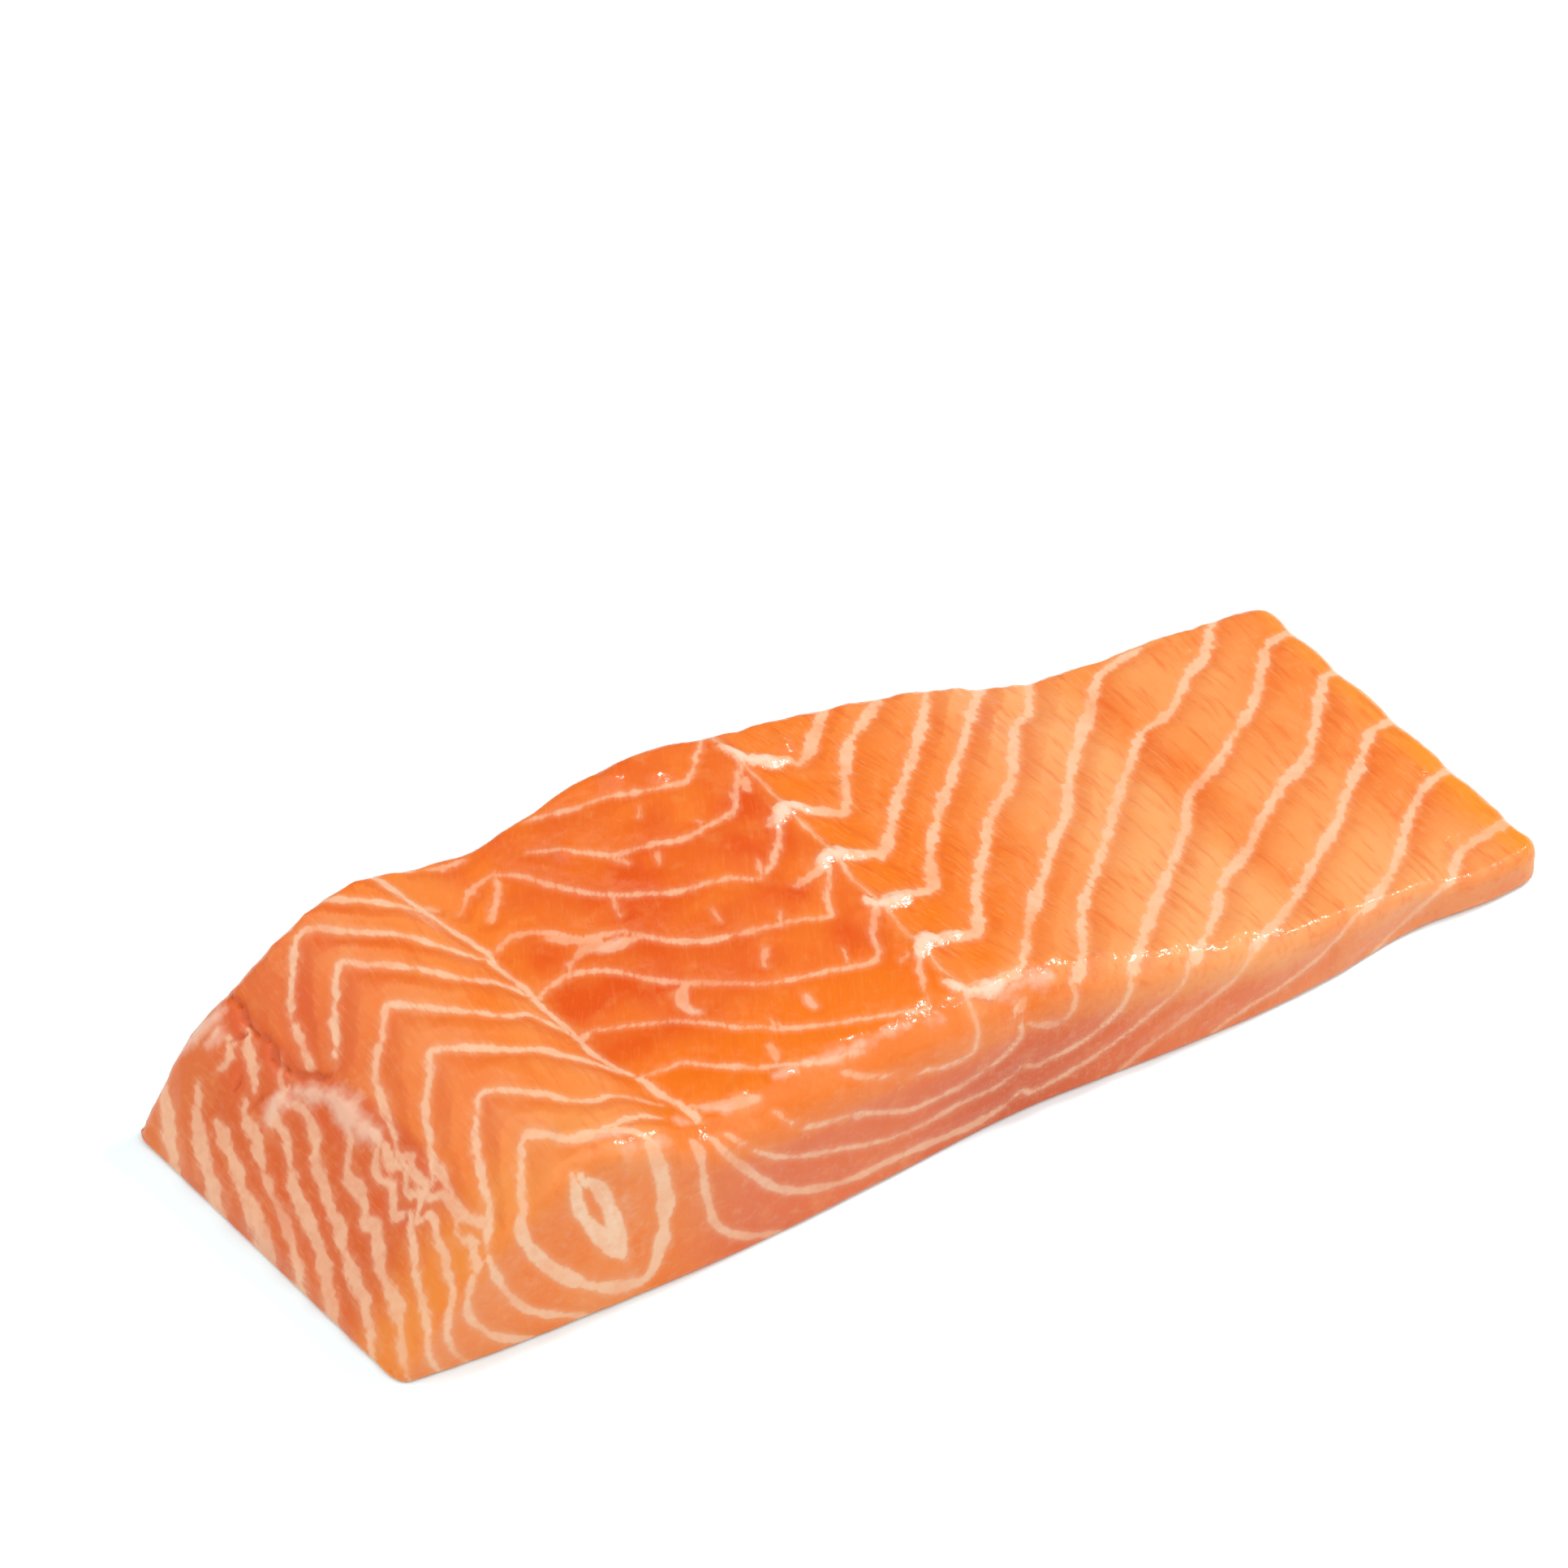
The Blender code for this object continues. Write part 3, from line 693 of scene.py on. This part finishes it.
def fleshMaterial():
    look = fleshLook
    material = bpy.data.materials.new("salmonFlesh")
    material.use_nodes = True
    bench = NodeBench(material)
    shader = material.node_tree.nodes["Principled BSDF"]
    # fibres run across the fillet and turn at the septum and at the seam
    coordinate = bench.put("ShaderNodeTexCoord").outputs["Object"]
    split = bench.put("ShaderNodeSeparateXYZ")
    bench.feed(split.inputs[0], coordinate)
    across = bench.maths("MULTIPLY", bench.layer("fibreAcross"), mm)
    fibre = bench.put("ShaderNodeCombineXYZ")
    bench.feed(fibre.inputs[0], across)
    bench.feed(fibre.inputs[1], bench.maths("MULTIPLY", split.outputs[1], 0.13))
    bench.feed(fibre.inputs[2], split.outputs[2])
    fibres = bench.cloud(fibre.outputs[0], 2600, 3.0, 0.6)
    strands = bench.cloud(fibre.outputs[0], 1100, 2.0, 0.5)
    mottle = bench.cloud(coordinate, 320, 3.0, 0.6)
    grain = bench.cloud(coordinate, 850, 3.0, 0.6)
    # flesh tones, and the painted shade at the foot of the cut face by the seam
    flesh = bench.mix(bench.layer("pale"), look["orange"], look["paleOrange"])
    for tone in ("mauve", "pink", "palePink", "seamFootShade"):
        flesh = bench.mix(bench.layer(tone), flesh, look[tone])
    flesh = bench.mix(bench.layer("deep"), flesh, look["deepRed"])
    flesh = bench.mix(bench.layer("gold"), flesh, look["gold"])
    flesh = bench.mix(bench.layer("glow"), flesh, look["glow"])
    show = bench.layer("fibreShow")
    dark = bench.maths("MULTIPLY", bench.ramp(strands, 0.48, 0.72, 0.0, 0.36), show)
    light = bench.maths("MULTIPLY", bench.ramp(fibres, 0.52, 0.72, 0.0, 0.34), show)
    flesh = bench.mix(dark, flesh, look["deepRed"])
    flesh = bench.mix(light, flesh, look["paleOrange"])
    flesh = bench.mix(bench.ramp(mottle, 0.52, 0.72, 0.0, 0.18), flesh, look["paleOrange"])
    speckle = bench.maths("MULTIPLY", bench.ramp(grain, 0.50, 0.75, 0.0, 0.13), bench.layer("onCut"))
    flesh = bench.mix(speckle, flesh, look["fat"])
    # fat: its rim is torn along the fibres
    tear = bench.maths("ADD", bench.around(strands, 0.9), bench.around(fibres, 0.5))
    tearing = bench.maths("ADD", bench.maths("MULTIPLY", show, 0.6), 0.4)
    inside = bench.maths("ADD", bench.layer("fat"), bench.maths("MULTIPLY", tear, tearing))
    veil = bench.maths("MULTIPLY", bench.ramp(inside, -0.85, 0.30), 0.30)
    core = bench.maths("MULTIPLY", bench.ramp(inside, -0.18, 0.26), 0.74)
    fatAmount = bench.maths("ADD", veil, core, clamp=True)
    fatAmount = bench.maths("MULTIPLY", fatAmount, bench.layer("fatStrength"))
    cloudy = bench.cloud(coordinate, 700, 2.0, 0.6)
    fatAmount = bench.maths("MULTIPLY", fatAmount, bench.ramp(cloudy, 0.30, 0.60, 0.82, 1.0))
    colour = bench.mix(fatAmount, flesh, look["fat"])
    whiter = bench.maths("ADD", bench.layer("gristle"), bench.around(cloudy, 2.4))
    colour = bench.mix(bench.ramp(whiter, -0.2, 0.9, 0.0, 0.75), colour, look["gristle"])
    # white tissue, and the painted sheen along the ridge
    softer = bench.maths("ADD", bench.layer("tissue"), bench.around(mottle, 3.0))
    colour = bench.mix(bench.ramp(softer, -0.9, 0.9, 0.0, 0.85), colour, look["tissue"])
    # painted shade in the creases
    colour = bench.mix(bench.ramp(bench.layer("crease"), 0.1, 0.8, 0.0, 0.85), colour, look["paintedCreaseShade"])
    # the underside, where the skin was: paler, with the dark muscle along the side of the fish
    facing = bench.put("ShaderNodeSeparateXYZ")
    bench.feed(facing.inputs[0], bench.put("ShaderNodeNewGeometry").outputs["Normal"])
    under = bench.ramp(facing.outputs[2], -0.7, -0.95)
    fromBand = bench.maths("ABSOLUTE", bench.maths("ADD", split.outputs[0], 0.006))
    fromBand = bench.maths("ADD", fromBand, bench.around(mottle, 0.012))
    skinSide = bench.mix(bench.ramp(fromBand, 0.004, 0.013, 0.75, 0.0), look["underside"], look["darkMuscle"])
    skinSide = bench.mix(bench.ramp(cloudy, 0.45, 0.65, 0.0, 0.35), skinSide, look["fat"])
    colour = bench.mix(under, colour, skinSide)
    bench.feed(shader.inputs["Base Color"], colour)
    shader.inputs["Roughness"].default_value = look["roughness"]
    shader.inputs["Specular IOR Level"].default_value = look["gloss"]
    shader.inputs["Subsurface Weight"].default_value = look["subsurface"]
    shader.inputs["Subsurface Radius"].default_value = look["subsurfaceRadius"]
    shader.inputs["Subsurface Scale"].default_value = look["subsurfaceScale"]
    shader.inputs["Coat Weight"].default_value = look["wetFilm"]
    shader.inputs["Coat Roughness"].default_value = look["wetRoughness"]
    # fine surface: fibres, and the uneven film of juice
    bumpHeight = bench.maths("ADD", bench.maths("MULTIPLY", fibres, 0.6), bench.maths("MULTIPLY", grain, 0.5))
    bump = bench.put("ShaderNodeBump")
    bump.inputs["Strength"].default_value = look["fibreBump"]
    bump.inputs["Distance"].default_value = look["bumpDepth"]
    bench.feed(bump.inputs["Height"], bumpHeight)
    bench.feed(shader.inputs["Normal"], bump.outputs[0])
    film = bench.put("ShaderNodeBump")
    film.inputs["Strength"].default_value = 1.0
    film.inputs["Distance"].default_value = look["bumpDepth"]
    bench.feed(film.inputs["Height"], bench.cloud(coordinate, 1100, 2.0, 0.5))
    bench.feed(shader.inputs["Coat Normal"], film.outputs[0])
    return material


mesh.materials.clear()
mesh.materials.append(fleshMaterial())
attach(fillet, "root")
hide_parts("salmon_fillet")

print("setting the studio")
studio = {
    "floorSize": 6.0,
    "floorColour": (0.86, 0.965, 0.99),  # evens out the warm light that the fillet throws back
    "skyAtHorizon": 0.5,
    "skyOverhead": 1.88,
    "darkCardStrength": 0.15,  # what the wet top mirrors towards the camera
    "darkCardFrom": (0.41, 0.64, 0.65),
    "topLightPower": 5.5,
    "topLightSize": 0.08,
    "topLightFrom": (0.68, 0.0, 0.73),
    "topLightDistance": 1.3,
    "cameraAzimuth": -32.7,
    "cameraElevation": 40.6,
    "cameraDistance": 0.65,
    "lens": 128.98,
    "aim": (0.0124, 0.0352, 0.0),
}
bpy.ops.object.select_all(action="DESELECT")
bpy.ops.mesh.primitive_plane_add(size=studio["floorSize"], location=(0, 0, 0))
floor = bpy.context.object
floor.name = "floor"
floorMaterial = bpy.data.materials.new("paleFloor")
floorMaterial.use_nodes = True
floorShader = floorMaterial.node_tree.nodes["Principled BSDF"]
floorShader.inputs["Base Color"].default_value = (*studio["floorColour"], 1)
floorShader.inputs["Roughness"].default_value = 0.9
floorShader.inputs["Specular IOR Level"].default_value = 0.0
floor.data.materials.append(floorMaterial)

world = bpy.data.worlds.new("studioSky")
world.use_nodes = True
sky = NodeBench(world)
direction = sky.put("ShaderNodeTexCoord").outputs["Generated"]
towardsCard = sky.put("ShaderNodeVectorMath", operation="DOT_PRODUCT")
sky.feed(towardsCard.inputs[0], direction)
towardsCard.inputs[1].default_value = Vector(studio["darkCardFrom"]).normalized()
besideCard = sky.ramp(towardsCard.outputs["Value"], 0.68, 0.92, 1.0, studio["darkCardStrength"])
skyHeight = sky.put("ShaderNodeSeparateXYZ")
sky.feed(skyHeight.inputs[0], direction)
skyRange = (studio["skyAtHorizon"], studio["skyOverhead"])
skyStrength = sky.ramp(skyHeight.outputs[2], 0.0, 1.0, *skyRange, smooth=False)
skyStrength = sky.maths("MULTIPLY", skyStrength, besideCard)
background = world.node_tree.nodes["Background"]
background.inputs["Color"].default_value = (1, 1, 1, 1)
sky.feed(background.inputs["Strength"], skyStrength)
bpy.context.scene.world = world

topLightPlace = Vector(studio["topLightFrom"]).normalized() * studio["topLightDistance"]
bpy.ops.object.light_add(type="AREA", location=topLightPlace)
topLight = bpy.context.object
topLight.data.shape = "DISK"
topLight.data.size = studio["topLightSize"]
topLight.data.energy = studio["topLightPower"]
topLight.rotation_euler = (-topLightPlace).to_track_quat("-Z", "Y").to_euler()

azimuth, elevation = math.radians(studio["cameraAzimuth"]), math.radians(studio["cameraElevation"])
level = math.cos(elevation)
toCamera = Vector((math.sin(azimuth) * level, -math.cos(azimuth) * level, math.sin(elevation)))
bpy.ops.object.camera_add(location=Vector(studio["aim"]) + toCamera * studio["cameraDistance"])
camera = bpy.context.object
camera.rotation_euler = (-toCamera).to_track_quat("-Z", "Y").to_euler()
camera.data.lens = studio["lens"]
camera.data.sensor_width = 36
camera.data.clip_start = 0.01
bpy.context.scene.camera = camera
bpy.context.scene.view_settings.view_transform = "Standard"
